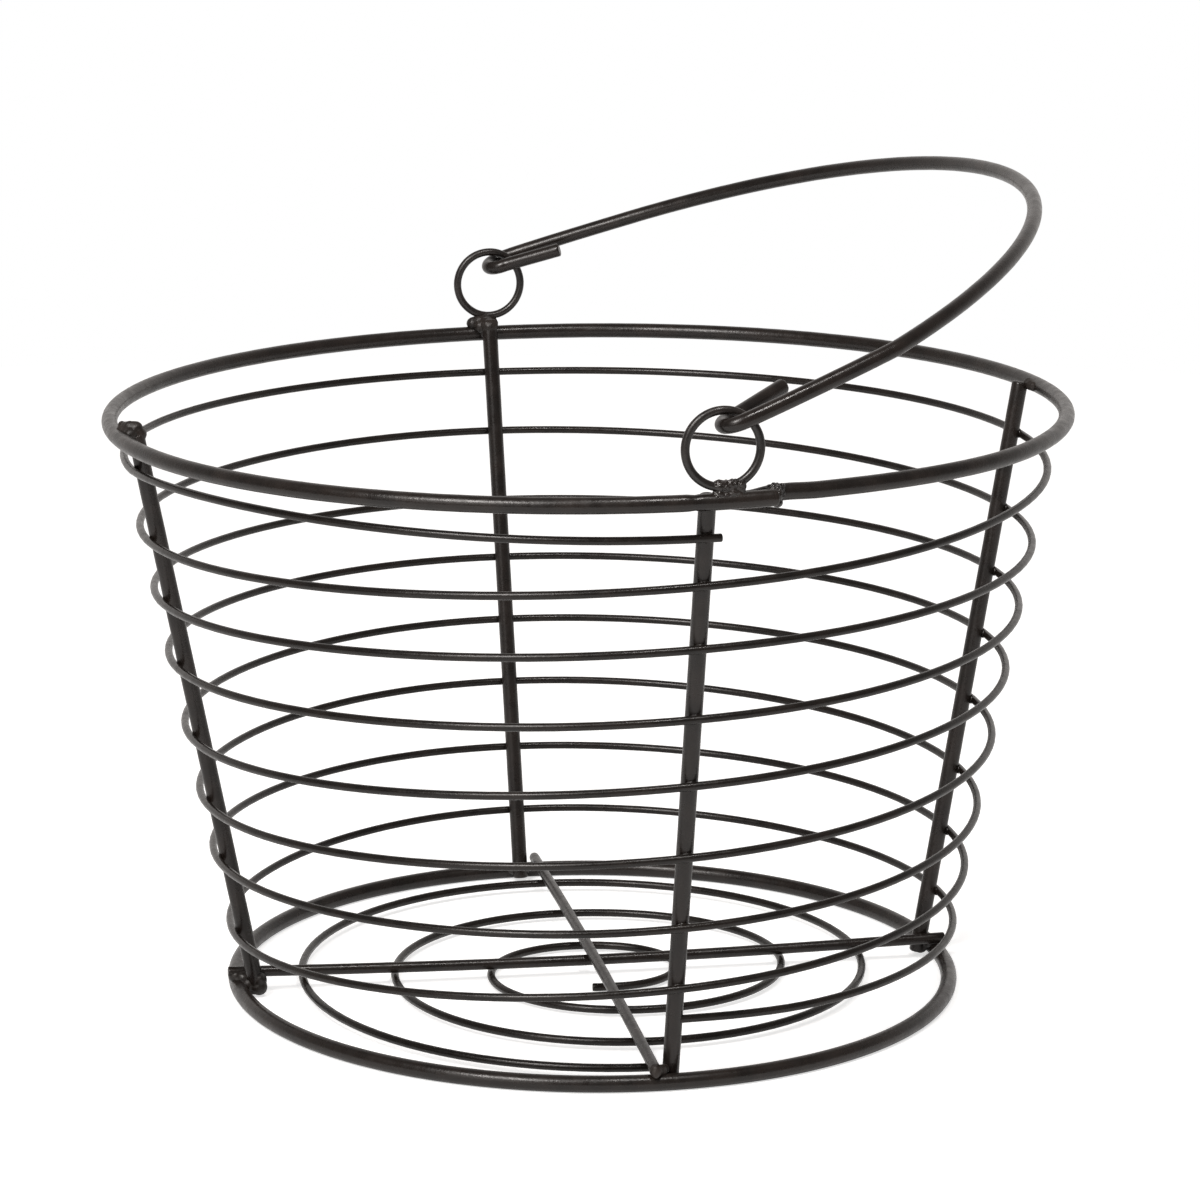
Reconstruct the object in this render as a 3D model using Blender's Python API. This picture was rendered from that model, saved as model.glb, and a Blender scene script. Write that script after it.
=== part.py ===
"""Welded wire onion basket with a spiral-wound wall, ring ears and a hooked swing handle.

Lengths are in metres and +Z is up. The origin is on the floor under the middle of the basket.
The front and back uprights stand on the Y axis and the side uprights near the X axis.
"""
import math

import bpy
import bmesh
from mathutils import Matrix, Vector

# Wire diameters, coating included
RIM_WIRE = 0.0054
BASE_WIRE = 0.0057
UPRIGHT_WIRE = 0.0056
WALL_WIRE = 0.0027
SPIRAL_WIRE = 0.0028
BAR_WIRE = 0.0038
EAR_WIRE = 0.0028
BAIL_WIRE = 0.0050

# Clearance between wires that touch
GAP = 0.0003

# Rim and base ring, measured on the centre line of the wire
RIM_RADIUS = 0.1625
RIM_HEIGHT = 0.2030
BASE_RADIUS = 0.1250

# The basket is hand set: its base sits to one side and its rim is higher on the right
BASE_SHIFT_X = 0.0031
BASE_SHIFT_Y = 0.0022
RIM_RISE = 0.0019

# The rim's two ends lie side by side beside the front upright
LAP_LENGTH = 0.0175
LAP_RUN_OUT = 0.1150

# Uprights run from just above the floor to just above the rim's centre line, the back one higher
FOOT_CLEARANCE = 0.0010
UPRIGHT_OVER_RIM = 0.0012
BACK_OVER_RIM = 0.0034

# The wall wire starts this far past the side of the front upright and ends this far short of it,
# with its end tucked in by so much
WALL_START_STUB = 0.0016
WALL_END_SHORT = 0.0004
WALL_END_TUCK = 0.0030

# Height of the wall wire as a share of the rim's height.
# A row is one turn: where it crosses the front, left, back and right upright.
WALL_HEIGHT_SHARES = (
    (0.939, 0.944, 0.931, 0.915),
    (0.861, 0.823, 0.824, 0.786),
    (0.757, 0.716, 0.698, 0.677),
    (0.640, 0.603, 0.593, 0.569),
    (0.527, 0.476, 0.479, 0.454),
    (0.404, 0.360, 0.365, 0.331),
    (0.282, 0.255, 0.245, 0.222),
    (0.175, 0.120, 0.129, 0.115),
)
WALL_END_HEIGHT_SHARE = 0.117
WALL_START_BOW_SHARE = 0.0095

# Cross bars under the load: the lower one runs side to side and sags, the upper one runs over it
BAR_OVERHANG = 0.0020
LOWER_BAR_LONG_LEFT = 0.0012
UPPER_BAR_SHORT_BACK = 0.0027
BASE_SAG = 0.0020
LOWER_BAR_STEP_LEFT = 0.0078
LOWER_BAR_STEP_RIGHT = 0.0083
UPPER_BAR_STEP_FRONT = 0.0097
UPPER_BAR_STEP_BACK = 0.0073

# Radius of the spiral that closes the base, as a share of the base ring's radius.
# A row is one turn clockwise: towards the front, left, back and right.
SPIRAL_RADIUS_SHARES = (
    (0.902, 0.819, 0.826, 0.770),
    (0.677, 0.563, 0.530, 0.544),
    (0.385, 0.292, 0.225, 0.240),
)
SPIRAL_EYE_SHARE = 0.167

# The spiral's ends, each a share of a turn past the front
SPIRAL_START_SHARE = 0.010
SPIRAL_END_SHARE = 0.038

# Ear rings stand on the rim, each a little to the right of the middle
EAR_RADIUS = 0.0120
FRONT_EAR_STEP = 0.0031
FRONT_EAR_LIFT = 0.0004
BACK_EAR_STEP = 0.0008
BACK_EAR_LIFT = 0.0026

# Swing handle, measured from its hinge line to the middle of its wire.
# Each leg runs straight for its eases at the hook and the shoulder before it bends.
BAIL_REACH = 0.1536
BOW_SHIFT = -0.0045
SHOULDER_REACH = 0.0612
SHOULDER_INSET = 0.0105
LEG_EASE = 0.0050
HOOK_EASE = 0.0085
HOOK_RADIUS = 0.0053
BAIL_TILT_DEG = 20.2

# Each hook's clearance under its ear's wire, its tail, and how far it is splayed and twisted
FRONT_HINGE_DROP = 0.0009
BACK_HINGE_DROP = 0.0018
FRONT_TAIL_LENGTH = 0.0236
BACK_TAIL_LENGTH = 0.0215
FRONT_TAIL_SPLAY_DEG = 31.0
BACK_TAIL_SPLAY_DEG = 21.9
FRONT_HOOK_TWIST_DEG = 1.9
BACK_HOOK_TWIST_DEG = 4.0

# Half sizes of the weld beads: along the ring, across it and upwards
EAR_WELD_HALF = (0.0056, 0.0040, 0.0036)
FRONT_EAR_WELD_SHIFT = 0.0022
BACK_EAR_WELD_SHIFT = -0.0024
LAP_WELD_HALF = (0.0042, 0.0026, 0.0018)
TOP_WELD_HALF = (0.0046, 0.0034, 0.0030)
TOP_WELD_DROP = 0.0016
FOOT_WELD_HALF = (0.0046, 0.0034, 0.0030)
FOOT_WELD_RISE = 0.0008

# Near-black coating: linear colour, and roughness on heavy wire, thin wire and welds
COAT_COLOUR = (0.027, 0.023, 0.021)
HEAVY_ROUGHNESS = 0.39
THIN_ROUGHNESS = 0.34
WELD_ROUGHNESS = 0.50

# Counts that set how round the wires are
RING_POINTS = 72
LOOP_POINTS = 24
EAR_POINTS = 28
BOW_POINTS = 26
HOOK_POINTS = 8
LEG_POINTS = 7
BAR_POINTS = 12
HEAVY_SIDES = 10
THIN_SIDES = 8
CUTTER_SIDES = 16
WELD_SEGMENTS = 16
WELD_RINGS = 10

# How far a weld's cutters reach, as a multiple of the weld's half length
CUTTER_REACH = 5

QUARTER_TURN = math.pi / 2
FULL_TURN = 2 * math.pi
FRONT_ANGLE = -QUARTER_TURN

# Uprights clockwise from above: angle, steps of top and foot from there, and height over the rim
UPRIGHTS = (("front", -90.0, 0.0, -1.3, UPRIGHT_OVER_RIM), ("left", -180.0, 3.7, -1.2, UPRIGHT_OVER_RIM),
            ("back", -270.0, 0.0, -0.4, BACK_OVER_RIM), ("right", -360.0, 1.6, -1.3, UPRIGHT_OVER_RIM))

# Ears, each with its side along Y, its step along X and its lift above the rim
EARS = (("front", -1, FRONT_EAR_STEP, FRONT_EAR_LIFT), ("back", 1, BACK_EAR_STEP, BACK_EAR_LIFT))

# Sizes that follow from the ones above
BASE_HEIGHT = BASE_WIRE / 2 * math.cos(math.pi / HEAVY_SIDES)
LEAN = math.atan((RIM_RADIUS - BASE_RADIUS) / (RIM_HEIGHT - BASE_HEIGHT))
LAP_STEP = RIM_WIRE + GAP
BAR_HEIGHT = BASE_HEIGHT + (BASE_WIRE + BAR_WIRE) / 2 + GAP
BAR_REACH = BASE_RADIUS + BAR_OVERHANG
SHOULDER_HALF_SPAN = RIM_RADIUS - SHOULDER_INSET


def clear_scene():
    for item in list(bpy.data.objects):
        bpy.data.objects.remove(item, do_unlink=True)


def collection(name):
    group = bpy.data.collections.new(name)
    bpy.context.scene.collection.children.link(group)
    return group


def coating(name, roughness):
    """Satin near-black plastic coating on steel wire."""
    material = bpy.data.materials.new(name)
    material.use_nodes = True
    shader = material.node_tree.nodes["Principled BSDF"]
    shader.inputs["Base Color"].default_value = (*COAT_COLOUR, 1.0)
    shader.inputs["Roughness"].default_value = roughness
    shader.inputs["Metallic"].default_value = 0.0
    material.diffuse_color = (*COAT_COLOUR, 1.0)
    return material


def polar(radius, angle, height):
    return Vector((radius * math.cos(angle), radius * math.sin(angle), height))


def place(radius, angle, height):
    """The same point on the finished basket, which leans a little to one side."""
    share = height / RIM_HEIGHT
    rise = RIM_RISE * math.cos(angle) * radius / RIM_RADIUS
    lean = Vector((BASE_SHIFT_X * (1 - share), BASE_SHIFT_Y * (1 - share), rise * share))
    return polar(radius, angle, height) + lean


def smooth_step(share):
    share = min(max(share, 0.0), 1.0)
    return share * share * (3 - 2 * share)


def wire(name, points, diameter, sides, material, closed=False):
    """A round wire along the points, with flat cut ends unless it is closed."""
    data = bpy.data.curves.new(name, "CURVE")
    data.dimensions = "3D"
    spline = data.splines.new("POLY")
    spline.points.add(len(points) - 1)
    for target, point in zip(spline.points, points):
        target.co = (*point, 1.0)
    spline.use_cyclic_u = closed
    spline.use_smooth = True
    data.bevel_depth = diameter / 2
    data.bevel_resolution = sides // 2 - 2
    data.use_fill_caps = True
    data.materials.append(material)
    item = bpy.data.objects.new(name, data)
    PARTS.objects.link(item)
    return item


def height_share(height):
    """Share of the way up from the base ring to the rim."""
    return (height - BASE_HEIGHT) / (RIM_HEIGHT - BASE_HEIGHT)


def upright_radius(height):
    """Distance of an upright's centre line from the middle of the basket."""
    top = RIM_RADIUS - ((RIM_WIRE + UPRIGHT_WIRE) / 2 + GAP) / math.cos(LEAN)
    foot = BASE_RADIUS - ((BASE_WIRE + UPRIGHT_WIRE) / 2 + GAP) / math.cos(LEAN)
    return foot + (top - foot) * height_share(height)


def wall_radius(height):
    """The wall wire runs round the outside of the uprights."""
    return upright_radius(height) + ((UPRIGHT_WIRE + WALL_WIRE) / 2 + GAP) / math.cos(LEAN)


def make_rim():
    """One round of heavy wire. It starts inside its own end and eases out to the circle."""
    start = FRONT_ANGLE + (UPRIGHT_WIRE / 2 + 2 * GAP) / (RIM_RADIUS - LAP_STEP)
    lap = LAP_LENGTH / RIM_RADIUS
    run_out = LAP_RUN_OUT / RIM_RADIUS
    sweep = FULL_TURN + lap
    points = []
    for step in range(RING_POINTS + 1):
        swept = sweep * step / RING_POINTS
        inset = LAP_STEP * (1 - smooth_step((swept - lap) / run_out))
        points.append(polar(RIM_RADIUS - inset, start + swept, 0.0))
    rim = wire("rim_ring", points, RIM_WIRE, HEAVY_SIDES, coating("rim_coat", HEAVY_ROUGHNESS))
    rim.location.z = RIM_HEIGHT
    rim.rotation_euler.y = -math.atan(RIM_RISE / RIM_RADIUS)
    return start + lap


def make_base_ring():
    points = [polar(BASE_RADIUS, FULL_TURN * step / RING_POINTS, 0.0) for step in range(RING_POINTS)]
    ring = wire("base_ring", points, BASE_WIRE, HEAVY_SIDES, coating("base_ring_coat", HEAVY_ROUGHNESS), True)
    ring.location = place(0.0, 0.0, BASE_HEIGHT)


def upright_point(upright, height):
    """A point on the straight line between an upright's places on the two rings."""
    name, degrees, top_step, foot_step, over = upright
    top = place(upright_radius(RIM_HEIGHT), math.radians(degrees + top_step), RIM_HEIGHT)
    foot = place(upright_radius(BASE_HEIGHT), math.radians(degrees + foot_step), BASE_HEIGHT)
    return foot.lerp(top, height_share(height))


def make_uprights():
    low = FOOT_CLEARANCE + UPRIGHT_WIRE / 2 * math.sin(LEAN)
    for upright in UPRIGHTS:
        foot = upright_point(upright, low)
        top = upright_point(upright, RIM_HEIGHT + upright[-1])
        label = "upright_" + upright[0]
        coat = coating(label + "_coat", HEAVY_ROUGHNESS)
        rod = wire(label, [Vector(), top - foot], UPRIGHT_WIRE, HEAVY_SIDES, coat)
        rod.location = foot


def share_at(turn, rows, end_share):
    """A smooth curve through the shares, which are a quarter of a turn apart."""
    shares = [share for row in rows for share in row] + [end_share]
    last = len(shares) - 1
    quarters = min(max(turn * len(UPRIGHTS), 0.0), last)
    index = min(int(quarters), last - 1)
    local = quarters - index
    before, here, there, after = (shares[min(max(index + step, 0), last)] for step in (-1, 0, 1, 2))
    bend = 2 * before - 5 * here + 4 * there - after
    twist = 3 * (here - there) + after - before
    return here + local * ((there - before) + local * (bend + local * twist)) / 2


def wall_height(turn):
    """Height of the wall wire, which crosses an upright every quarter of a turn.

    Its first quarter bows up, most of all before the left upright.
    """
    quarter = min(max(turn * len(UPRIGHTS), 0.0), 1.0)
    bow = WALL_START_BOW_SHARE * math.sin(math.pi * quarter ** 2)
    return RIM_HEIGHT * (share_at(turn, WALL_HEIGHT_SHARES, WALL_END_HEIGHT_SHARE) + bow)


def upright_step(index, height):
    """How many degrees an upright stands from its quarter of the basket at a height."""
    name, degrees, top_step, foot_step, over = UPRIGHTS[index % len(UPRIGHTS)]
    return foot_step + (top_step - foot_step) * height_share(height)


def wall_point(turn, inset):
    """A point on the wall wire, with a whole quarter of a turn from each upright to the next."""
    height = wall_height(turn)
    quarter = math.floor(turn * len(UPRIGHTS))
    share = turn * len(UPRIGHTS) - quarter
    step = upright_step(quarter, height) * (1 - share) + upright_step(quarter + 1, height) * share
    return place(wall_radius(height) - inset, FRONT_ANGLE + math.radians(step) - FULL_TURN * turn, height)


def make_wall():
    """One thin wire wound clockwise down the outside of the uprights."""
    turns = len(WALL_HEIGHT_SHARES)
    stub = (UPRIGHT_WIRE / 2 + WALL_START_STUB) / wall_radius(wall_height(0))
    short = (UPRIGHT_WIRE / 2 + WALL_END_SHORT) / wall_radius(wall_height(turns))
    points = [wall_point(-stub / FULL_TURN, 0.0)]
    points += [wall_point(step / LOOP_POINTS, 0.0) for step in range(turns * LOOP_POINTS)]
    points.append(wall_point(turns - short / FULL_TURN, WALL_END_TUCK))
    wire("wall_wire", points, WALL_WIRE, THIN_SIDES, coating("wall_coat", THIN_ROUGHNESS))
    report_least_gap("wall_wire", points, WALL_WIRE)


def sag_at(radius):
    """How far the floor of the basket hangs below its edge."""
    return BASE_SAG * math.cos(QUARTER_TURN * min(radius / BAR_REACH, 1.0))


def spiral_point(turn):
    """A point on the base spiral, measured from the middle of the base ring."""
    radius = BASE_RADIUS * share_at(turn, SPIRAL_RADIUS_SHARES, SPIRAL_EYE_SHARE)
    return polar(radius, FRONT_ANGLE - FULL_TURN * turn, -sag_at(radius))


def make_base_spiral():
    """One thin wire in a flat spiral under the bars, wound clockwise inwards."""
    turns = len(SPIRAL_RADIUS_SHARES)
    points = [spiral_point(SPIRAL_START_SHARE)]
    points += [spiral_point(step / LOOP_POINTS) for step in range(1, turns * LOOP_POINTS)]
    points.append(spiral_point(turns))
    points.append(spiral_point(turns + SPIRAL_END_SHARE))
    spiral = wire("base_spiral", points, SPIRAL_WIRE, THIN_SIDES, coating("spiral_coat", THIN_ROUGHNESS))
    spiral.location = place(0.0, 0.0, BASE_HEIGHT)
    spiral.location.z = BAR_HEIGHT - (BAR_WIRE + SPIRAL_WIRE) / 2 - GAP
    report_least_gap("base_spiral", points, SPIRAL_WIRE)


def report_least_gap(name, points, diameter):
    """Print the least clear gap between one turn of a wound wire and the next."""
    apart = LOOP_POINTS // 2
    least = min((points[low] - points[high]).length
                for low in range(len(points))
                for high in range(low + apart, len(points)))
    print(f"{name}: least gap to itself {(least - diameter) * 1000:.2f} mm")


def make_bars():
    """Two bars lie on the base ring. The upper one bows over the lower one where they cross."""
    middle = place(0.0, 0.0, BASE_HEIGHT)
    middle.z = BAR_HEIGHT
    lower = []
    upper = []
    for step in range(BAR_POINTS + 1):
        along = 2 * step / BAR_POINTS - 1
        sag = sag_at(abs(along) * BAR_REACH)
        step_y = LOWER_BAR_STEP_LEFT * (1 - along) / 2 - LOWER_BAR_STEP_RIGHT * (1 + along) / 2
        past = LOWER_BAR_LONG_LEFT * (1 - along) / 2
        lower.append(Vector((along * BAR_REACH - past, step_y, -sag)))
        step_x = UPPER_BAR_STEP_BACK * (1 + along) / 2 - UPPER_BAR_STEP_FRONT * (1 - along) / 2
        bow = (BAR_WIRE + GAP - BASE_SAG) * math.cos(QUARTER_TURN * along)
        short = UPPER_BAR_SHORT_BACK * (1 + along) / 2
        upper.append(Vector((step_x, along * BAR_REACH - short, bow)))
    for name, points in (("lower", lower), ("upper", upper)):
        coat = coating(name + "_bar_coat", HEAVY_ROUGHNESS)
        bar = wire("cross_bar_" + name, points, BAR_WIRE, THIN_SIDES, coat)
        bar.location = middle


def ear_middle(side, step, lift):
    height = RIM_HEIGHT + (RIM_WIRE + EAR_WIRE) / 2 + lift + EAR_RADIUS
    return Vector((step, side * RIM_RADIUS, height))


def make_ears():
    points = [polar(EAR_RADIUS, FULL_TURN * step / EAR_POINTS, 0.0) for step in range(EAR_POINTS)]
    for name, side, step, lift in EARS:
        label = "ear_ring_" + name
        ring = wire(label, points, EAR_WIRE, THIN_SIDES, coating(label + "_coat", THIN_ROUGHNESS), True)
        ring.location = ear_middle(side, step, lift)
        ring.rotation_euler.x = QUARTER_TURN


def hinge_line():
    """Where the handle's two hooks hang in the ear rings, front first."""
    under_wire = EAR_RADIUS - (EAR_WIRE + BAIL_WIRE) / 2
    return [ear_middle(side, step, lift) + Vector((0.0, 0.0, under_wire - drop))
            for (name, side, step, lift), drop in zip(EARS, (FRONT_HINGE_DROP, BACK_HINGE_DROP))]


def hook_and_leg(side, half_span, tail_length, splay_deg, twist_deg):
    """Points from a tail's cut end, round the hook and up the leg to the shoulder.

    The handle lies in its own XY plane: Y is along the hinge line and X away from it. The bottom
    of the hook is on the hinge line, so the hook turns in its ring without moving sideways.
    """
    splay, twist = math.radians(splay_deg), math.radians(twist_deg)
    across = Vector((0.0, side * math.cos(twist), math.sin(twist)))
    away = Vector((1.0, 0.0, 0.0))
    bottom = Vector((0.0, side * half_span, 0.0))
    points = []
    for step in range(HOOK_POINTS + 1):
        turn = math.pi * (step / HOOK_POINTS - 0.5)
        points.append(bottom + HOOK_RADIUS * (math.sin(turn) * across + (1 - math.cos(turn)) * away))
    tail = points[0] + tail_length * (math.cos(splay) * away - math.sin(splay) * across)
    radius, spread = bow_shape()
    shoulder = Vector((SHOULDER_REACH, BOW_SHIFT + side * SHOULDER_HALF_SPAN, 0.0))
    along = Vector((math.sin(spread), -side * math.cos(spread), 0.0))
    guides = (points[-1], points[-1] + HOOK_EASE * away, shoulder - LEG_EASE * along, shoulder)
    leg = [bezier(guides, step / LEG_POINTS) for step in range(1, LEG_POINTS + 1)]
    return [tail] + points + leg


def bow_shape():
    """Radius of the handle's bow and the angle from its top to a shoulder."""
    drop = BAIL_REACH - SHOULDER_REACH
    radius = (SHOULDER_HALF_SPAN ** 2 + drop ** 2) / (2 * drop)
    return radius, math.atan2(SHOULDER_HALF_SPAN, radius - drop)


def bezier(guides, share):
    rest = 1 - share
    weights = (rest ** 3, 3 * rest * rest * share, 3 * rest * share * share, share ** 3)
    return sum((weight * guide for weight, guide in zip(weights, guides)), Vector())


def make_bail():
    """The handle turns about a pivot that lies on the line between the two ears."""
    front_hook, back_hook = hinge_line()
    line = back_hook - front_hook
    half = line.length / 2
    front = hook_and_leg(-1, half, FRONT_TAIL_LENGTH, FRONT_TAIL_SPLAY_DEG, FRONT_HOOK_TWIST_DEG)
    back = hook_and_leg(1, half, BACK_TAIL_LENGTH, BACK_TAIL_SPLAY_DEG, BACK_HOOK_TWIST_DEG)
    radius, spread = bow_shape()
    bow = []
    for step in range(1, BOW_POINTS):
        angle = spread * (2 * step / BOW_POINTS - 1)
        away = BAIL_REACH - radius * (1 - math.cos(angle))
        bow.append(Vector((away, BOW_SHIFT + radius * math.sin(angle), 0.0)))
    points = front + bow + back[::-1]
    bail = wire("bail_handle", points, BAIL_WIRE, HEAVY_SIDES, coating("bail_coat", HEAVY_ROUGHNESS))
    pivot = bpy.data.objects.new("bail_pivot", None)
    PARTS.objects.link(pivot)
    pivot.location = (front_hook + back_hook) / 2
    yaw = -math.atan2(line.x, line.y)
    pitch = math.asin(line.z / line.length)
    pivot.rotation_euler = (pitch, 0.0, yaw)
    bail.parent = pivot
    bail.rotation_euler.y = -math.radians(BAIL_TILT_DEG)


def mesh_object(name, mesh, group):
    data = bpy.data.meshes.new(name)
    mesh.to_mesh(data)
    mesh.free()
    item = bpy.data.objects.new(name, data)
    group.objects.link(item)
    return item


def cutter_rod(name, spot, direction, diameter, length):
    """A straight stand-in for a stretch of wire, fatter than it by the clearance."""
    mesh = bmesh.new()
    radius = diameter / 2 + GAP
    bmesh.ops.create_cone(mesh, cap_ends=True, segments=CUTTER_SIDES, depth=length,
                          radius1=radius, radius2=radius)
    item = mesh_object(name, mesh, CUTTERS)
    item.location = spot
    item.rotation_euler = direction.to_track_quat("Z", "Y").to_euler()
    return item


def cutter_ring(name, spot):
    bpy.ops.mesh.primitive_torus_add(major_radius=EAR_RADIUS, minor_radius=EAR_WIRE / 2 + GAP,
                                     major_segments=EAR_POINTS, minor_segments=CUTTER_SIDES // 2)
    item = bpy.context.object
    item.name = name
    for group in list(item.users_collection):
        group.objects.unlink(item)
    CUTTERS.objects.link(item)
    item.location = spot
    item.rotation_euler.x = QUARTER_TURN
    return item


def weld(name, spot, angle, half, cutters):
    """A rounded bead of weld, hollowed where the wires pass through it."""
    mesh = bmesh.new()
    bmesh.ops.create_uvsphere(mesh, u_segments=WELD_SEGMENTS, v_segments=WELD_RINGS, radius=1.0)
    bmesh.ops.transform(mesh, matrix=Matrix.Diagonal((*half, 1.0)), verts=mesh.verts)
    for face in mesh.faces:
        face.smooth = True
    bead = mesh_object(name, mesh, PARTS)
    bead.location = spot
    bead.rotation_euler.z = angle
    bead.data.materials.append(coating(name + "_coat", WELD_ROUGHNESS))
    for cutter in cutters:
        cutter.hide_render = True
        cutter.display_type = "WIRE"
        cut = bead.modifiers.new("clear_" + cutter.name, "BOOLEAN")
        cut.operation = "DIFFERENCE"
        cut.object = cutter
    return bead


def upright_cutter(name, upright, height, length):
    """The part of an upright that passes through a weld."""
    middle = upright_point(upright, height)
    return cutter_rod(name, middle, upright_point(upright, height + length) - middle, UPRIGHT_WIRE, length)


def ring_cutter(name, radius, angle, height, diameter, length):
    """The part of a ring of wire that passes through a weld."""
    middle = place(radius, angle, height)
    reach = length / 2 / radius
    along = place(radius, angle + reach, height) - place(radius, angle - reach, height)
    return cutter_rod(name, middle, along, diameter, length)


def make_upright_welds():
    top_length = CUTTER_REACH * TOP_WELD_HALF[0]
    foot_length = CUTTER_REACH * FOOT_WELD_HALF[0]
    for upright in UPRIGHTS:
        name, degrees, top_step, foot_step, over = upright
        angle = math.radians(degrees + foot_step)
        cutters = (upright_cutter("foot_upright_" + name, upright, BASE_HEIGHT, foot_length),
                   ring_cutter("foot_ring_" + name, BASE_RADIUS, angle, BASE_HEIGHT, BASE_WIRE, foot_length))
        seat = (upright_radius(BASE_HEIGHT) + BASE_RADIUS) / 2
        spot = place(seat, angle, BASE_HEIGHT) + Vector((0.0, 0.0, FOOT_WELD_RISE))
        weld("foot_weld_" + name, spot, angle + QUARTER_TURN, FOOT_WELD_HALF, cutters)
        if name == "front":
            continue
        angle = math.radians(degrees + top_step)
        cutters = (upright_cutter("top_upright_" + name, upright, RIM_HEIGHT, top_length),
                   ring_cutter("top_ring_" + name, RIM_RADIUS, angle, RIM_HEIGHT, RIM_WIRE, top_length))
        seat = (upright_radius(RIM_HEIGHT) + RIM_RADIUS) / 2
        spot = place(seat, angle, RIM_HEIGHT) - Vector((0.0, 0.0, TOP_WELD_DROP))
        weld("top_weld_" + name, spot, angle + QUARTER_TURN, TOP_WELD_HALF, cutters)


def make_ear_welds():
    """Each ear stands in a bead on the rim.

    The front bead also covers the rim's inner end, and the back one the top of its upright.
    """
    length = CUTTER_REACH * EAR_WELD_HALF[0]
    shifts = {"front": FRONT_EAR_WELD_SHIFT, "back": BACK_EAR_WELD_SHIFT}
    for name, side, step, lift in EARS:
        angle = side * QUARTER_TURN
        cutters = [cutter_ring("ear_" + name, ear_middle(side, step, lift)),
                   ring_cutter("ear_rim_" + name, RIM_RADIUS, angle, RIM_HEIGHT, RIM_WIRE, length)]
        if name == "front":
            inner = RIM_RADIUS - LAP_STEP
            cutters.append(ring_cutter("ear_lap", inner, angle, RIM_HEIGHT, RIM_WIRE, length))
        else:
            cutters.append(upright_cutter("ear_upright", UPRIGHTS[2], RIM_HEIGHT, length))
        height = RIM_HEIGHT + (RIM_WIRE + lift) / 2
        spot = Vector((step + shifts[name], side * RIM_RADIUS, height))
        weld("ear_weld_" + name, spot, 0.0, EAR_WELD_HALF, cutters)


def make_lap_weld(lap_end):
    """A bead in the groove between the rim's two ends."""
    length = CUTTER_REACH * LAP_WELD_HALF[0]
    angle = lap_end - LAP_WELD_HALF[0] / RIM_RADIUS
    inner = RIM_RADIUS - LAP_STEP
    cutters = (ring_cutter("lap_outer", RIM_RADIUS, angle, RIM_HEIGHT, RIM_WIRE, length),
               ring_cutter("lap_inner", inner, angle, RIM_HEIGHT, RIM_WIRE, length))
    spot = place(RIM_RADIUS - LAP_STEP / 2, angle, RIM_HEIGHT) + Vector((0.0, 0.0, RIM_WIRE / 2))
    weld("lap_weld", spot, angle + QUARTER_TURN, LAP_WELD_HALF, cutters)


clear_scene()
PARTS = collection("onion_basket")
CUTTERS = collection("weld_cutters")
LAP_END = make_rim()
make_base_ring()
make_uprights()
make_wall()
make_base_spiral()
make_bars()
make_ears()
make_bail()
make_upright_welds()
make_ear_welds()
make_lap_weld(LAP_END)
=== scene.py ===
"""Looks of a welded wire onion basket, in metres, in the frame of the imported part.

Every wire is drawn again along its own line, finer than the frame's solids and with soft edges
at its cut ends. Every weld is cast as a lumpy bead. All of it wears a near-black powder coat.
"""
import math

import bpy
from mathutils import Matrix, Vector


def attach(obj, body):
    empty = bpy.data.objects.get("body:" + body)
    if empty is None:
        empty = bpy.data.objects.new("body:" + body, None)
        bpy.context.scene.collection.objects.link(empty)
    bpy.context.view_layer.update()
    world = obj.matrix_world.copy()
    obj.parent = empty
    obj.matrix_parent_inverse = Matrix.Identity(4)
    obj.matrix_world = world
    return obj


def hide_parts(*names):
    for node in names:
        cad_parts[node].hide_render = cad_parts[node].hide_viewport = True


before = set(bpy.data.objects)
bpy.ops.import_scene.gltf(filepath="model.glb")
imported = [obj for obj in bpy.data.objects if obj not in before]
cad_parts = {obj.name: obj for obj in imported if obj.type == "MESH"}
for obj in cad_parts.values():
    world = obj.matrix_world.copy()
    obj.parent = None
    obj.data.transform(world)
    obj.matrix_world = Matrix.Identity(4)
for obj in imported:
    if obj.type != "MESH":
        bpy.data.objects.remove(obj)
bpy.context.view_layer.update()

QUARTER_TURN = math.pi / 2
FULL_TURN = 2 * math.pi
FRONT_ANGLE = -QUARTER_TURN

# Wire diameters, coating included
RIM_WIRE = 0.0054
BASE_WIRE = 0.0057
UPRIGHT_WIRE = 0.0056
WALL_WIRE = 0.0027
SPIRAL_WIRE = 0.0028
BAR_WIRE = 0.0038
EAR_WIRE = 0.0028
BAIL_WIRE = 0.0050
GAP = 0.0003

# Rim and base ring, and how the basket leans, because it is bent by hand
RIM_RADIUS = 0.1625
RIM_HEIGHT = 0.2030
BASE_RADIUS = 0.1250
BASE_HEIGHT = BASE_WIRE / 2 * math.cos(math.pi / 10)
BASE_SHIFT_X = 0.0031
BASE_SHIFT_Y = 0.0022
RIM_RISE = 0.0019
LAP_LENGTH = 0.0175
LAP_RUN_OUT = 0.1150
LAP_STEP = RIM_WIRE + GAP
LAP_START = FRONT_ANGLE + (UPRIGHT_WIRE / 2 + 2 * GAP) / (RIM_RADIUS - LAP_STEP)
RIM_END_DIP = 0.0010
RIM_END_RISE = 0.0006
RIM_GROOVE_STEP = -0.0058
RIM_GROOVE_REACH = 0.0012
RIM_GROOVE_SHARE = 0.10
BASE_COAT_ROOM = 0.0001
LEAN = math.atan((RIM_RADIUS - BASE_RADIUS) / (RIM_HEIGHT - BASE_HEIGHT))

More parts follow.
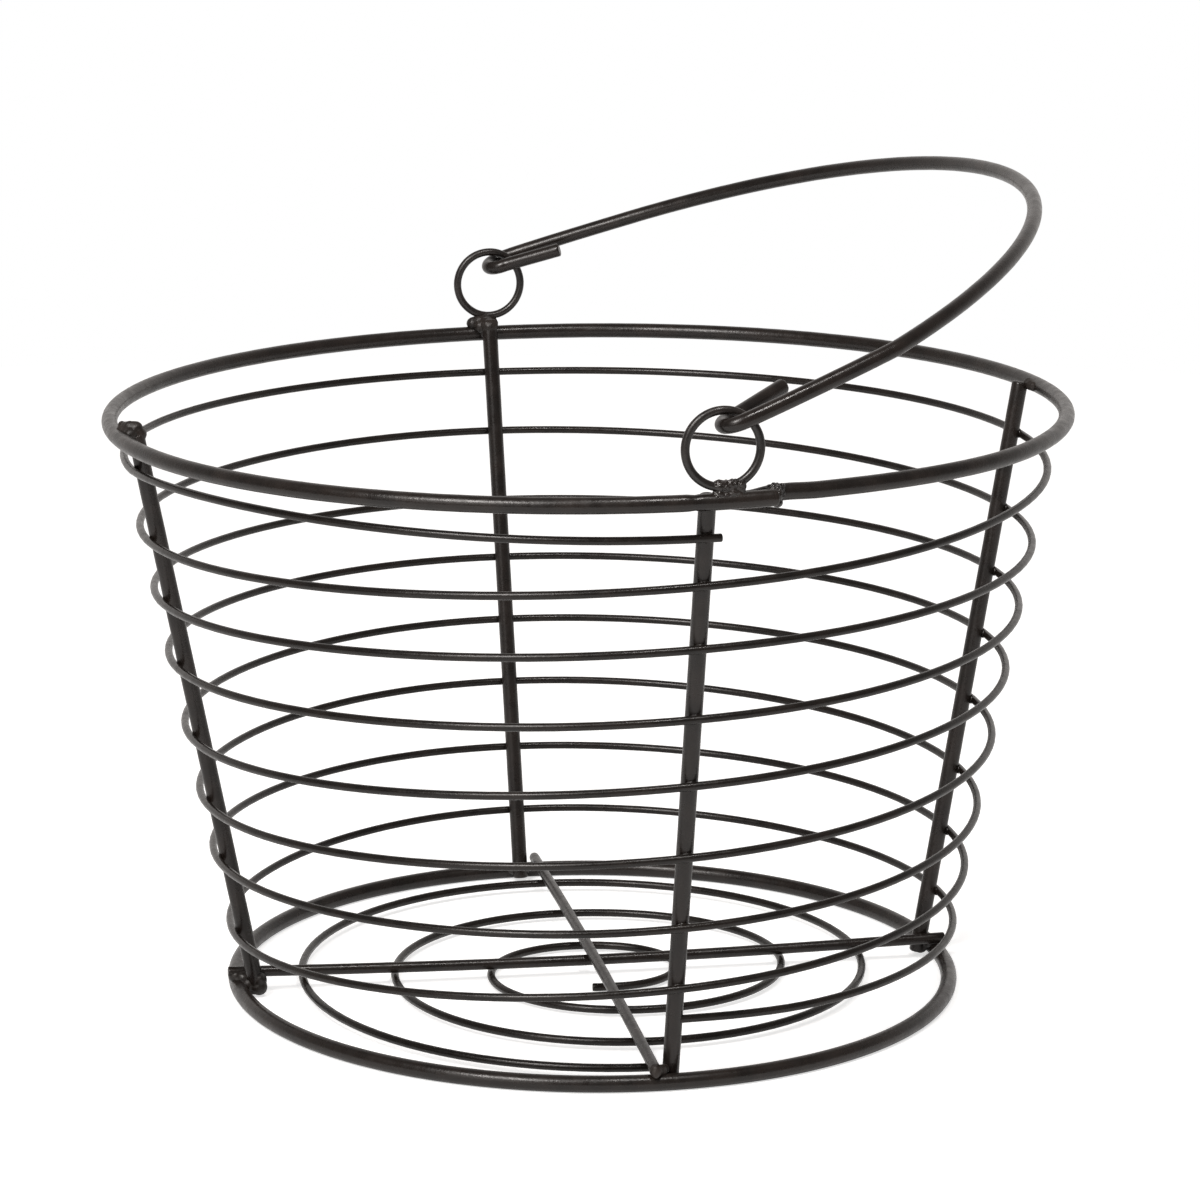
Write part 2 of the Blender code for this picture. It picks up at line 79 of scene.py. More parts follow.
# Uprights clockwise from above: angle and the steps of top and foot from it, in degrees, and
# how far the top stands over the rim's middle
UPRIGHTS = (("front", -90.0, 0.0, -1.3, 0.0012), ("left", -180.0, 3.7, -1.2, 0.0012),
            ("back", -270.0, 0.0, -0.4, 0.0034), ("right", -360.0, 1.6, -1.3, 0.0012))
FOOT_CLEARANCE = 0.0010

# Wall wire: a row is one turn, its height at the front, left, back and right upright
WALL_HEIGHT_SHARES = (
    (0.939, 0.944, 0.931, 0.915),
    (0.861, 0.823, 0.824, 0.786),
    (0.757, 0.716, 0.698, 0.677),
    (0.640, 0.603, 0.593, 0.569),
    (0.527, 0.476, 0.479, 0.454),
    (0.404, 0.360, 0.365, 0.331),
    (0.282, 0.255, 0.245, 0.222),
    (0.175, 0.120, 0.129, 0.115),
)
WALL_END_HEIGHT_SHARE = 0.117
WALL_START_BOW_SHARE = 0.0095
WALL_START_STUB = 0.0016
WALL_END_TUCK = 0.0026
WALL_END_SHORT = 0.0012
WALL_TUCK_TURNS = 1 / 16
WALL_SINK = 0.0005
WALL_EASE = 0.0009

# Base spiral: a row is one turn, its radius towards the front, left, back and right
SPIRAL_RADIUS_SHARES = (
    (0.902, 0.819, 0.826, 0.770),
    (0.677, 0.563, 0.530, 0.544),
    (0.385, 0.292, 0.225, 0.240),
)
SPIRAL_EYE_SHARE = 0.167
SPIRAL_START_SHARE = 0.010
SPIRAL_END_SHARE = 0.038

# Cross bars under the load
BAR_HEIGHT = BASE_HEIGHT + (BASE_WIRE + BAR_WIRE) / 2 + GAP
BAR_REACH = BASE_RADIUS + 0.0020
LOWER_BAR_LONG_LEFT = 0.0012
UPPER_BAR_SHORT_BACK = 0.0027
BASE_SAG = 0.0020
LOWER_BAR_STEP_LEFT = 0.0078
LOWER_BAR_STEP_RIGHT = 0.0083
UPPER_BAR_STEP_FRONT = 0.0097
UPPER_BAR_STEP_BACK = 0.0073

# Ears: side along Y, step along X, and lift above the rim
EAR_RADIUS = 0.0120
EARS = (("front", -1, 0.0031, 0.0004), ("back", 1, 0.0008, 0.0026))

# Swing handle, measured from its hinge line to the middle of its wire
BAIL_REACH = 0.1536
BOW_SHIFT = -0.0045
SHOULDER_REACH = 0.0612
SHOULDER_HALF_SPAN = RIM_RADIUS - 0.0105
LEG_EASE = 0.0050
HOOK_EASE = 0.0085
HOOK_RADIUS = 0.0053
BAIL_TILT = math.radians(20.2)

# Each hook's clearance under its ear's wire, its tail, and how far it is splayed and twisted
HINGE_DROPS = (0.0009, 0.0018)
FRONT_HOOK = (0.0236, math.radians(31.0), math.radians(1.9))
BACK_HOOK = (0.0215, math.radians(21.9), math.radians(4.0))

# Webs of coating at the crossings: half of the depth, width and height
WEB_HALF_SIZE = (0.0010, 0.0022, 0.0018)

# A cut end's edge is drawn at these shares of its rounding
END_STOPS = (0.0, 0.1, 0.35, 0.65, 1.0)

# Sizes of the coating's clouds and of its change in gloss
CLOUD_SIZE = 0.009
GLOSS_GRAIN = 0.0035

# Spatter: how far it is thrown and how large it is, as shares of its own drop's radius
SPATTER_THROW = 0.55
SPATTER_SIZE = 0.55

# Camera: place, turns in degrees, lens and sensor in millimetres, and the side that it stands on
CAMERA_PLACE = (-0.35000, -1.44367, 0.47378)
CAMERA_TURNS = (77.1934, -0.30531, -13.7275)
CAMERA_LENS = 132.577
CAMERA_SENSOR = 36.0
CAMERA_SIDE = math.radians(-103.6)

# Room: a paper floor and a backdrop ahead, dimmer behind, with one window that shows in the gloss
WARM_WHITE = (1.0, 0.96, 0.93)
PURE_WHITE = (1.0, 1.0, 1.0)
BACKDROP_WAY = (0.24, 0.97, -0.75)
ROOM_DIM = 0.22
ROOM_BRIGHT = 0.85
ROOM_LIGHT = 0.40
WINDOW_WAY = (-0.702, -0.712, 0.0)
WINDOW_ACROSS = (-0.712, 0.702, 0.0)
WINDOW_GAIN = 2.2
# Edges of the window: where it is dark, and where it is bright
WINDOW_JAMBS = (0.30, 0.14)
WINDOW_SILL = (-0.05, 0.20)
WINDOW_HEAD = (0.95, 0.80)
FLOOR_RADIUS = 1.3
PAPER_LIFT = 0.62
MIRRORED_LIFT = 0.45

# Spacing of the nodes in their editor
NODE_STEP = 180


def collection(name):
    group = bpy.data.collections.new(name)
    bpy.context.scene.collection.children.link(group)
    return group


BASKET = collection("dressed_basket")
STUDIO = collection("studio")


# Nodes and materials


def add(tree, kind, inputs=None, **settings):
    """Add a node, set its properties, and give each named input a value or a link."""
    node = tree.nodes.new(kind)
    node.location = (NODE_STEP * len(tree.nodes), 0)
    for key, value in settings.items():
        setattr(node, key, value)
    for key, value in (inputs or {}).items():
        if isinstance(value, bpy.types.NodeSocket):
            tree.links.new(value, node.inputs[key])
        else:
            node.inputs[key].default_value = value
    return node


def linear(code):
    """An sRGB hex colour as linear RGBA."""
    values = [int(code[index:index + 2], 16) / 255 for index in (1, 3, 5)]
    return (*(v / 12.92 if v <= 0.04045 else ((v + 0.055) / 1.055) ** 2.4 for v in values), 1.0)


def powder_coat(name, deep, worn, smooth, rough, peel, peel_depth, index=1.42):
    """Near-black polyester powder coat, melted on to steel.

    It gives a warm black with a satin gloss, which clouds slightly over a finger's width, and a fine
    orange peel that breaks up the highlights. The peel is drawn as coarse as it needs to show.
    """
    material = bpy.data.materials.new(name)
    material.use_nodes = True
    tree = material.node_tree
    shader = tree.nodes["Principled BSDF"]
    shader.inputs["IOR"].default_value = index
    spot = add(tree, "ShaderNodeTexCoord").outputs["Object"]
    cloud = add(tree, "ShaderNodeTexNoise", {"Vector": spot, "Scale": 1 / CLOUD_SIZE, "Detail": 4.0})
    tone = add(tree, "ShaderNodeMapRange", {
        "Value": cloud.outputs["Fac"], "From Min": 0.35, "From Max": 0.70})
    colour = add(tree, "ShaderNodeMix", {
        0: tone.outputs["Result"], 6: linear(deep), 7: linear(worn)}, data_type="RGBA")
    tree.links.new(colour.outputs[2], shader.inputs["Base Color"])
    grain = add(tree, "ShaderNodeTexNoise", {"Vector": spot, "Scale": 1 / GLOSS_GRAIN, "Detail": 2.0})
    gloss = add(tree, "ShaderNodeMapRange", {
        "Value": grain.outputs["Fac"], "From Min": 0.3, "From Max": 0.7, "To Min": smooth, "To Max": rough})
    tree.links.new(gloss.outputs["Result"], shader.inputs["Roughness"])
    skin = add(tree, "ShaderNodeTexNoise", {
        "Vector": spot, "Scale": 1 / peel, "Detail": 3.0, "Roughness": 0.6})
    bump = add(tree, "ShaderNodeBump", {
        "Height": skin.outputs["Fac"], "Distance": peel_depth, "Strength": 1.0})
    tree.links.new(bump.outputs["Normal"], shader.inputs["Normal"])
    return material


# Each coat: two tones, roughness from and to, the peel's size and depth, and the refractive index
HEAVY_COAT = powder_coat("powder_coat_on_heavy_wire", "#15110f", "#241e1b", 0.23, 0.36, 0.0011, 0.00007)
THIN_COAT = powder_coat("powder_coat_on_thin_wire", "#120f0d", "#1f1a17", 0.22, 0.34, 0.0009, 0.00005, 1.39)
EAR_COAT = powder_coat("powder_coat_on_ears", "#15110f", "#241e1b", 0.26, 0.40, 0.0009, 0.00006, 1.50)
HANDLE_COAT = powder_coat("powder_coat_on_handle", "#15110f", "#241e1b", 0.20, 0.32, 0.0011, 0.00006)
WELD_COAT = powder_coat("powder_coat_on_weld", "#110e0c", "#2a231f", 0.32, 0.50, 0.0007, 0.00010)
SPATTER_COAT = powder_coat("powder_coat_on_spatter", "#0c0a09", "#2a231f", 0.12, 0.30, 0.0009, 0.00020,
                           1.50)


# Geometry trees


def new_tree(name, sizes):
    """A geometry tree with named inputs, and the sockets that hand them on."""
    tree = bpy.data.node_groups.new(name, "GeometryNodeTree")
    for label, kind, value in sizes:
        socket = tree.interface.new_socket(label, in_out="INPUT", socket_type="NodeSocket" + kind)
        if value is not None:
            socket.default_value = value
    tree.interface.new_socket("Geometry", in_out="OUTPUT", socket_type="NodeSocketGeometry")
    return tree, add(tree, "NodeGroupInput").outputs


def close_tree(tree, geometry, coating):
    """Smooth shading, the coating, and plain geometry out."""
    smooth = add(tree, "GeometryNodeSetShadeSmooth", {"Geometry": geometry})
    coated = add(tree, "GeometryNodeSetMaterial", {"Geometry": smooth.outputs[0], "Material": coating})
    plain = add(tree, "GeometryNodeRealizeInstances", {"Geometry": coated.outputs[0]})
    add(tree, "NodeGroupOutput", {"Geometry": plain.outputs[0]})
    return tree


def swollen(tree, geometry, seed, swell, spacing):
    """Push a surface in and out along its normals by up to half the swell."""
    waves = add(tree, "ShaderNodeMath", {0: 1.0, 1: spacing}, operation="DIVIDE")
    noise = add(tree, "ShaderNodeTexNoise", {"W": seed, "Scale": waves.outputs[0], "Detail": 2.0},
                noise_dimensions="4D")
    centred = add(tree, "ShaderNodeMath", {0: noise.outputs["Fac"], 1: 0.5}, operation="SUBTRACT")
    amount = add(tree, "ShaderNodeMath", {0: centred.outputs[0], 1: swell}, operation="MULTIPLY")
    normal = add(tree, "GeometryNodeInputNormal")
    push = add(tree, "ShaderNodeVectorMath", {0: normal.outputs[0], "Scale": amount.outputs[0]},
               operation="SCALE")
    moved = add(tree, "GeometryNodeSetPosition", {"Geometry": geometry, "Offset": push.outputs[0]})
    return moved.outputs[0]


def wire_tree():
    """A round wire along a line of points, on which the coating swells and thins a little."""
    tree, given = new_tree("coated_wire", (
        ("Geometry", "Geometry", None), ("Diameter", "Float", WALL_WIRE), ("Sides", "Int", 16),
        ("Coat Swell", "Float", 0.0001), ("Swell Spacing", "Float", 0.006), ("Seed", "Float", 1.0),
        ("Coating", "Material", None)))
    line = add(tree, "GeometryNodeMeshToCurve", {"Mesh": given["Geometry"]})
    radius = add(tree, "ShaderNodeMath", {0: given["Diameter"], 1: 2.0}, operation="DIVIDE")
    section = add(tree, "GeometryNodeCurvePrimitiveCircle",
                  {"Resolution": given["Sides"], "Radius": radius.outputs[0]})
    girth = add(tree, "GeometryNodeInputNamedAttribute", {"Name": "girth"}, data_type="FLOAT")
    swept = add(tree, "GeometryNodeCurveToMesh", {
        "Curve": line.outputs[0], "Profile Curve": section.outputs[0],
        "Scale": girth.outputs[0], "Fill Caps": True})
    skin = swollen(tree, swept.outputs[0], given["Seed"], given["Coat Swell"], given["Swell Spacing"])
    return close_tree(tree, skin, given["Coating"])


def weld_tree():
    """A bead of weld: placed drops and the spatter round them, melted together under a gritty skin."""
    tree, given = new_tree("weld_bead", (
        ("Geometry", "Geometry", None), ("Spatter", "Int", 2), ("Grain", "Float", 0.00022),
        ("Melting", "Int", 18), ("Grit", "Float", 0.0002), ("Grit Spacing", "Float", 0.0013),
        ("Seed", "Int", 1), ("Coating", "Material", None)))
    size = add(tree, "GeometryNodeInputNamedAttribute", {"Name": "size"}, data_type="FLOAT").outputs[0]
    drops = add(tree, "GeometryNodeMeshToPoints", {"Mesh": given["Geometry"]})
    copies = add(tree, "GeometryNodeDuplicateElements", {
        "Geometry": drops.outputs[0], "Amount": given["Spatter"]}, domain="POINT")
    toss = add(tree, "FunctionNodeRandomValue", {
        0: (-1.0, -1.0, -1.0), 1: (1.0, 1.0, 1.0), "Seed": given["Seed"]}, data_type="FLOAT_VECTOR")
    throw = add(tree, "ShaderNodeVectorMath", {0: toss.outputs[0], "Scale": size}, operation="SCALE")
    near = add(tree, "ShaderNodeVectorMath", {0: throw.outputs[0], "Scale": SPATTER_THROW},
               operation="SCALE")
    strewn = add(tree, "GeometryNodeSetPosition", {
        "Geometry": copies.outputs[0], "Offset": near.outputs[0]})
    lesser = add(tree, "ShaderNodeMath", {0: size, 1: SPATTER_SIZE}, operation="MULTIPLY")
    spatter = add(tree, "GeometryNodeStoreNamedAttribute", {
        "Geometry": strewn.outputs[0], "Name": "size", "Value": lesser.outputs[0]},
        data_type="FLOAT", domain="POINT")
    heap = add(tree, "GeometryNodeJoinGeometry")
    tree.links.new(spatter.outputs[0], heap.inputs[0])
    tree.links.new(drops.outputs[0], heap.inputs[0])
    melt = add(tree, "GeometryNodePointsToVolume", {
        "Points": heap.outputs[0], "Radius": size, "Voxel Size": given["Grain"]},
        resolution_mode="VOXEL_SIZE")
    skin = add(tree, "GeometryNodeVolumeToMesh", {"Volume": melt.outputs[0], "Threshold": 0.1})
    spot = add(tree, "GeometryNodeInputPosition")
    settled = add(tree, "GeometryNodeBlurAttribute", {"Iterations": given["Melting"]},
                  data_type="FLOAT_VECTOR")
    taken = next(way for way in settled.inputs if way.enabled and way.name == "Value")
    tree.links.new(spot.outputs[0], taken)
    flowed = add(tree, "GeometryNodeSetPosition", {"Geometry": skin.outputs[0]})
    tree.links.new(next(way for way in settled.outputs if way.enabled), flowed.inputs["Position"])
    gritty = swollen(tree, flowed.outputs[0], given["Seed"], given["Grit"], given["Grit Spacing"])
    return close_tree(tree, gritty, given["Coating"])


def web_tree():
    """A small web of melted coating in the corner of each crossing of two wires."""
    tree, given = new_tree("crossing_web", (
        ("Geometry", "Geometry", None), ("Half Size", "Vector", None), ("Coating", "Material", None)))
    drop = add(tree, "GeometryNodeMeshIcoSphere", {"Radius": 1.0, "Subdivisions": 3})
    outward = add(tree, "GeometryNodeInputNamedAttribute", {"Name": "outward"}, data_type="FLOAT_VECTOR")
    turned = add(tree, "FunctionNodeAlignRotationToVector", {"Vector": outward.outputs[0]},
                 axis="X", pivot_axis="Z")
    webs = add(tree, "GeometryNodeInstanceOnPoints", {
        "Points": given["Geometry"], "Instance": drop.outputs[0],
        "Rotation": turned.outputs[0], "Scale": given["Half Size"]})
    return close_tree(tree, webs.outputs[0], given["Coating"])


def grown(name, mesh, tree, values, seat=None):
    """Run a tree on a mesh and keep what grows as one plain piece, with its place in its mesh."""
    seedling = bpy.data.objects.new(name + "_line", mesh)
    BASKET.objects.link(seedling)
    modifier = seedling.modifiers.new("grow", "NODES")
    modifier.node_group = tree
    for item in tree.interface.items_tree:
        if item.in_out == "INPUT" and item.name in values:
            modifier[item.identifier] = values[item.name]
    graph = bpy.context.evaluated_depsgraph_get()
    data = bpy.data.meshes.new_from_object(seedling.evaluated_get(graph))
    data.name = name
    bpy.data.objects.remove(seedling)
    if seat is not None:
        data.transform(seat)
    piece = bpy.data.objects.new(name, data)
    BASKET.objects.link(piece)
    return piece


WIRE_TREE = wire_tree()
WELD_TREE = weld_tree()
WEB_TREE = web_tree()


# Drawing a wire


def soft_end(end, inner, diameter, rounding):
    """Close-set points and girths that round off the edge of a cut end."""
    along = (inner - end).normalized()
    radius = diameter / 2
    stops = []
    for share in END_STOPS:
        back = (1 - share) * rounding
        girth = (radius - rounding + math.sqrt(rounding ** 2 - back ** 2)) / radius
        stops.append((end + share * rounding * along, girth))
    return stops


def draw_wire(name, node, points, diameter, coating, sides=20, closed=False, rounding=0.0005,
              swell=0.00012, seed=1.0, bumps=(), body="basket"):
    """Draw a wire through the points and let it stand for the frame's node.

    A bump has a spot, a reach and a gain in girth, and is a groove where the gain is negative.
    """
    stops = [(point, 1.0) for point in points]
    if not closed:
        start = soft_end(points[0], points[1], diameter, rounding)
        finish = soft_end(points[-1], points[-2], diameter, rounding)
        stops = start + stops[1:-1] + finish[::-1]
    for spot, reach, gain in bumps:
        stops = [(point, girth + gain * math.exp(-((point - spot).length / reach) ** 2))
                 for point, girth in stops]
    mesh = bpy.data.meshes.new(name + "_line")
    edges = [(index, index + 1) for index in range(len(stops) - 1)]
    if closed:
        edges.append((len(stops) - 1, 0))
    mesh.from_pydata([point for point, girth in stops], edges, [])
    girths = mesh.attributes.new("girth", "FLOAT", "POINT")
    girths.data.foreach_set("value", [girth for point, girth in stops])
    piece = grown(name, mesh, WIRE_TREE, {
        "Diameter": diameter, "Sides": sides, "Coat Swell": swell, "Seed": seed, "Coating": coating})
    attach(piece, body)
    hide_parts(node)


# Lines of the basket


def polar(radius, angle, height):
    return Vector((radius * math.cos(angle), radius * math.sin(angle), height))


def place(radius, angle, height):
    """The same point on the finished basket, which leans a little to one side."""
    share = height / RIM_HEIGHT
    rise = RIM_RISE * math.cos(angle) * radius / RIM_RADIUS
    lean = Vector((BASE_SHIFT_X * (1 - share), BASE_SHIFT_Y * (1 - share), rise * share))
    return polar(radius, angle, height) + lean


def smooth_step(share):
    share = min(max(share, 0.0), 1.0)
    return share * share * (3 - 2 * share)


def height_share(height):
    return (height - BASE_HEIGHT) / (RIM_HEIGHT - BASE_HEIGHT)


def upright_radius(height):
    top = RIM_RADIUS - ((RIM_WIRE + UPRIGHT_WIRE) / 2 + GAP) / math.cos(LEAN)
    foot = BASE_RADIUS - ((BASE_WIRE + UPRIGHT_WIRE) / 2 + GAP) / math.cos(LEAN)
    return foot + (top - foot) * height_share(height)


def wall_radius(height):
    return upright_radius(height) + ((UPRIGHT_WIRE + WALL_WIRE) / 2 + GAP) / math.cos(LEAN)


def share_at(turn, rows, end_share):
    """A smooth curve through the shares, which are a quarter of a turn apart."""
    shares = [share for row in rows for share in row] + [end_share]
    last = len(shares) - 1
    quarters = min(max(turn * len(UPRIGHTS), 0.0), last)
    index = min(int(quarters), last - 1)
    local = quarters - index
    before, here, there, after = (shares[min(max(index + step, 0), last)] for step in (-1, 0, 1, 2))
    bend = 2 * before - 5 * here + 4 * there - after
    twist = 3 * (here - there) + after - before
    return here + local * ((there - before) + local * (bend + local * twist)) / 2


def upright_point(upright, height):
    degrees, top_step, foot_step = upright[1:4]
    top = place(upright_radius(RIM_HEIGHT), math.radians(degrees + top_step), RIM_HEIGHT)
    foot = place(upright_radius(BASE_HEIGHT), math.radians(degrees + foot_step), BASE_HEIGHT)
    return foot.lerp(top, height_share(height))


def wall_height(turn):
    """Height of the wall wire, which bows up a little in its first quarter."""
    quarter = min(max(turn * len(UPRIGHTS), 0.0), 1.0)
    bow = WALL_START_BOW_SHARE * math.sin(math.pi * quarter ** 2)
    return RIM_HEIGHT * (share_at(turn, WALL_HEIGHT_SHARES, WALL_END_HEIGHT_SHARE) + bow)


def upright_step(index, height):
    top_step, foot_step = UPRIGHTS[index % len(UPRIGHTS)][2:4]
    return foot_step + (top_step - foot_step) * height_share(height)


def wall_point(turn, inset):
    height = wall_height(turn)
    quarter = math.floor(turn * len(UPRIGHTS))
    share = turn * len(UPRIGHTS) - quarter
    step = upright_step(quarter, height) * (1 - share) + upright_step(quarter + 1, height) * share
    ease = WALL_EASE * (1 - math.cos(FULL_TURN * share)) / 2
    angle = FRONT_ANGLE + math.radians(step) - FULL_TURN * turn
    return place(wall_radius(height) - GAP - WALL_SINK - ease - inset, angle, height)


def sag_at(radius):
    return BASE_SAG * math.cos(QUARTER_TURN * min(radius / BAR_REACH, 1.0))


def dress_rim():
    """Rim ring: its ends lie side by side, the inner one dips, and a faint groove crosses the wire."""
    lap = LAP_LENGTH / RIM_RADIUS
    run_out = LAP_RUN_OUT / RIM_RADIUS
    steps = 900
    turn = Matrix.Rotation(-math.atan(RIM_RISE / RIM_RADIUS), 3, "Y")
    points = []
    for step in range(steps + 1):
        swept = (FULL_TURN + lap) * step / steps
        inset = LAP_STEP * (1 - smooth_step((swept - lap) / run_out))
        # Lap lengths from the inner end
        past = swept / lap
        rise = RIM_END_RISE * smooth_step(2 * past - 1) * smooth_step(2 - past)
        rise -= RIM_END_DIP * smooth_step(1.5 - past)
        level = turn @ polar(RIM_RADIUS - inset, LAP_START + swept, 0.0)
        points.append(level + Vector((0.0, 0.0, RIM_HEIGHT + rise)))
    groove = Vector((RIM_GROOVE_STEP, -RIM_RADIUS, RIM_HEIGHT))
    draw_wire("rim_wire", "rim_ring", points, RIM_WIRE, HEAVY_COAT, sides=28, rounding=0.0007, seed=2.0,
              bumps=((groove, RIM_GROOVE_REACH, -RIM_GROOVE_SHARE),))


def dress_base_ring():
    """Base ring, drawn a hair thinner and higher, so that its coat doesn't swell into the floor."""
    steps = 240
    middle = place(0.0, 0.0, BASE_HEIGHT + BASE_COAT_ROOM)
    points = [middle + polar(BASE_RADIUS, FULL_TURN * step / steps, 0.0) for step in range(steps)]
    draw_wire("foot_ring_wire", "base_ring", points, BASE_WIRE - BASE_COAT_ROOM, HEAVY_COAT,
              sides=28, closed=True, swell=0.00006, seed=3.0)


def dress_uprights():
    steps = 60
    low = FOOT_CLEARANCE + UPRIGHT_WIRE / 2 * math.sin(LEAN)
    for order, upright in enumerate(UPRIGHTS):
        foot = upright_point(upright, low)
        top = upright_point(upright, RIM_HEIGHT + upright[-1])
        points = [foot.lerp(top, step / steps) for step in range(steps + 1)]
        draw_wire(upright[0] + "_rod", "upright_" + upright[0], points, UPRIGHT_WIRE, HEAVY_COAT,
                  sides=24, rounding=0.0008, seed=4.0 + order)


def dress_wall():
    """Wall wire: it touches the uprights, runs a little flatter between them, and tucks in at its end."""
    turns = len(WALL_HEIGHT_SHARES)
    loop = 120
    stub = (UPRIGHT_WIRE / 2 + WALL_START_STUB) / wall_radius(wall_height(0))
    short = WALL_END_SHORT / wall_radius(wall_height(turns))
    end = turns - short / FULL_TURN
    stops = [-stub / FULL_TURN] + [step / loop for step in range(turns * loop - 1)] + [end]
    points = [wall_point(turn, WALL_END_TUCK * smooth_step(1 - (end - turn) / WALL_TUCK_TURNS))
              for turn in stops]
    draw_wire("wall_winding", "wall_wire", points, WALL_WIRE, THIN_COAT, sides=16, rounding=0.0004,
              swell=0.00008, seed=8.0)


def dress_spiral():
    """Floor spiral: it hangs under the bars and sags towards its middle."""
    turns = len(SPIRAL_RADIUS_SHARES)
    loop = 96
    middle = place(0.0, 0.0, BASE_HEIGHT)
    middle.z = BAR_HEIGHT - (BAR_WIRE + SPIRAL_WIRE) / 2 - GAP
    first = math.ceil(SPIRAL_START_SHARE * loop)
    stops = [SPIRAL_START_SHARE] + [step / loop for step in range(first + 1, turns * loop + 1)]
    for share in (0.5, 1.0):
        stops.append(turns + share * SPIRAL_END_SHARE)
    points = []
    for turn in stops:
        radius = BASE_RADIUS * share_at(turn, SPIRAL_RADIUS_SHARES, SPIRAL_EYE_SHARE)
        points.append(middle + polar(radius, FRONT_ANGLE - FULL_TURN * turn, -sag_at(radius)))
    draw_wire("floor_spiral", "base_spiral", points, SPIRAL_WIRE, THIN_COAT, sides=16, rounding=0.0004,
              swell=0.00008, seed=9.0)


def dress_bars():
    """Cross bars: the lower one sags with the floor, and the upper one bows over it."""
    middle = place(0.0, 0.0, BASE_HEIGHT)
    middle.z = BAR_HEIGHT
    lower = []
    upper = []
    steps = 48
    for step in range(steps + 1):
        along = 2 * step / steps - 1
        step_y = LOWER_BAR_STEP_LEFT * (1 - along) / 2 - LOWER_BAR_STEP_RIGHT * (1 + along) / 2
        past = LOWER_BAR_LONG_LEFT * (1 - along) / 2
        lower.append(middle + Vector((along * BAR_REACH - past, step_y, -sag_at(abs(along) * BAR_REACH))))
        step_x = UPPER_BAR_STEP_BACK * (1 + along) / 2 - UPPER_BAR_STEP_FRONT * (1 - along) / 2
        bow = (BAR_WIRE + GAP - BASE_SAG) * math.cos(QUARTER_TURN * along)
        short = UPPER_BAR_SHORT_BACK * (1 + along) / 2
        upper.append(middle + Vector((step_x, along * BAR_REACH - short, bow)))
    draw_wire("side_to_side_bar", "cross_bar_lower", lower, BAR_WIRE, HEAVY_COAT, seed=10.0)
    draw_wire("front_to_back_bar", "cross_bar_upper", upper, BAR_WIRE, HEAVY_COAT, rounding=0.0009,
              seed=11.0)


def ear_middle(side, step, lift):
    height = RIM_HEIGHT + (RIM_WIRE + EAR_WIRE) / 2 + lift + EAR_RADIUS
    return Vector((step, side * RIM_RADIUS, height))


def dress_ears():
    steps = 96
    for name, side, step, lift in EARS:
        middle = ear_middle(side, step, lift)
        points = []
        for index in range(steps):
            angle = FULL_TURN * index / steps
            points.append(middle + EAR_RADIUS * Vector((math.cos(angle), 0.0, math.sin(angle))))
        draw_wire(name + "_ear_loop", "ear_ring_" + name, points, EAR_WIRE, EAR_COAT, sides=20, closed=True,
                  swell=0.0001, seed=12.0 + side)


def bezier(guides, share):
    rest = 1 - share
    weights = (rest ** 3, 3 * rest * rest * share, 3 * rest * share * share, share ** 3)
    return sum((weight * guide for weight, guide in zip(weights, guides)), Vector())


def bow_shape():
    """Radius of the handle's bow and the angle from its top to a shoulder."""
    drop = BAIL_REACH - SHOULDER_REACH
    radius = (SHOULDER_HALF_SPAN ** 2 + drop ** 2) / (2 * drop)
    return radius, math.atan2(SHOULDER_HALF_SPAN, radius - drop)


def hook_and_leg(side, half_span, tail_length, splay, twist):
    """Points from a tail's cut end, round the hook and up the leg to the shoulder."""
    across = Vector((0.0, side * math.cos(twist), math.sin(twist)))
    away = Vector((1.0, 0.0, 0.0))
    bottom = Vector((0.0, side * half_span, 0.0))
    steps = 24
    tail_steps = 10
    hook = []
    for step in range(steps + 1):
        turn = math.pi * (step / steps - 0.5)
        hook.append(bottom + HOOK_RADIUS * (math.sin(turn) * across + (1 - math.cos(turn)) * away))
    tail_end = hook[0] + tail_length * (math.cos(splay) * away - math.sin(splay) * across)
    tail = [tail_end.lerp(hook[0], step / tail_steps) for step in range(tail_steps)]
    radius, spread = bow_shape()
    shoulder = Vector((SHOULDER_REACH, BOW_SHIFT + side * SHOULDER_HALF_SPAN, 0.0))
    along = Vector((math.sin(spread), -side * math.cos(spread), 0.0))
    guides = (hook[-1], hook[-1] + HOOK_EASE * away, shoulder - LEG_EASE * along, shoulder)
    leg = [bezier(guides, step / steps) for step in range(1, steps + 1)]
    return tail + hook + leg


def dress_handle():
    """The handle turns about the line between its two seats in the ears."""
    steps = 120
    under_wire = EAR_RADIUS - (EAR_WIRE + BAIL_WIRE) / 2
    front_seat, back_seat = (ear_middle(*ear[1:]) + Vector((0.0, 0.0, under_wire - drop))
                             for ear, drop in zip(EARS, HINGE_DROPS))
    line = back_seat - front_seat
    front = hook_and_leg(-1, line.length / 2, *FRONT_HOOK)
    back = hook_and_leg(1, line.length / 2, *BACK_HOOK)
    radius, spread = bow_shape()
    bow = []
    for step in range(1, steps):
        angle = spread * (2 * step / steps - 1)
        away = BAIL_REACH - radius * (1 - math.cos(angle))
        bow.append(Vector((away, BOW_SHIFT + radius * math.sin(angle), 0.0)))
    pitch = Matrix.Rotation(math.asin(line.z / line.length), 4, "X")
    yaw = Matrix.Rotation(-math.atan2(line.x, line.y), 4, "Z")
    tilt = Matrix.Rotation(-BAIL_TILT, 4, "Y")
    seat = Matrix.Translation((front_seat + back_seat) / 2) @ yaw @ pitch @ tilt
    points = [seat @ point for point in front + bow + back[::-1]]
    draw_wire("swing_handle", "bail_handle", points, BAIL_WIRE, HANDLE_COAT, sides=24, rounding=0.0007,
              seed=15.0, body="bail")


# Welds


